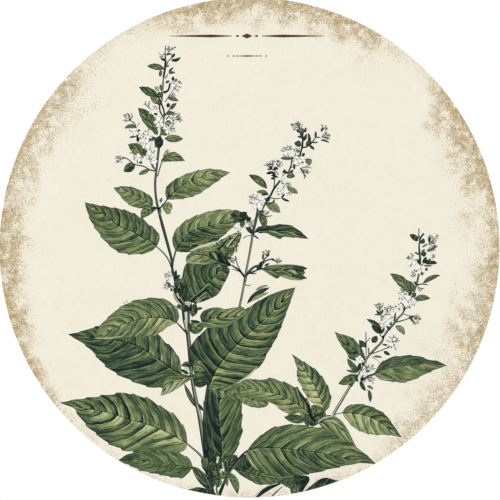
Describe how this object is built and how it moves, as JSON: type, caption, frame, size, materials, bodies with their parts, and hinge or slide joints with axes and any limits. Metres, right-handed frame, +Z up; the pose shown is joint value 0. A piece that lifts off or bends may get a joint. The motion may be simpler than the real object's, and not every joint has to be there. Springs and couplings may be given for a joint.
{
  "type": "round wall print",
  "caption": "Thin round wall panel printed with a botanical drawing of flowering basil, with a keyhole hanger and bumpers behind.",
  "frame": {"origin": "in the wall plane, where the shank of the wall screw bears: the centre of the round upper end of the keyhole slot", "axes": "+Z up, +Y from the picture into the wall, so the picture faces -Y and +X is to the right for a person looking at it"},
  "size_m": [0.3, 0.01, 0.3],
  "materials": {
    "printed_face": "matt UV print of aged cream paper on a white-coated aluminium skin",
    "core_plastic": "saw-cut black polyethylene",
    "bare_aluminium": "mill-finish sheet with a rolled grain",
    "zinc_steel": "zinc-plated pressed sheet",
    "foam_tape": "white closed-cell foam tape",
    "bumper_rubber": "matt grey rubber",
    "leaf_ink": "matt green print ink with drawn veins and hatching",
    "stem_ink": "matt grey-green print ink",
    "petal_ink": "matt white print ink with thin grey outlines",
    "line_ink": "matt brown print ink of the ruled ornament"
  },
  "bodies": {
    "root": {"front_sheet": "printed_face", "core": "core_plastic", "back_sheet": "bare_aluminium", "hanger_plate": "zinc_steel", "hanger_tape": "foam_tape", "bumper_left": "bumper_rubber", "bumper_right": "bumper_rubber"}
  },
  "joints": []
}
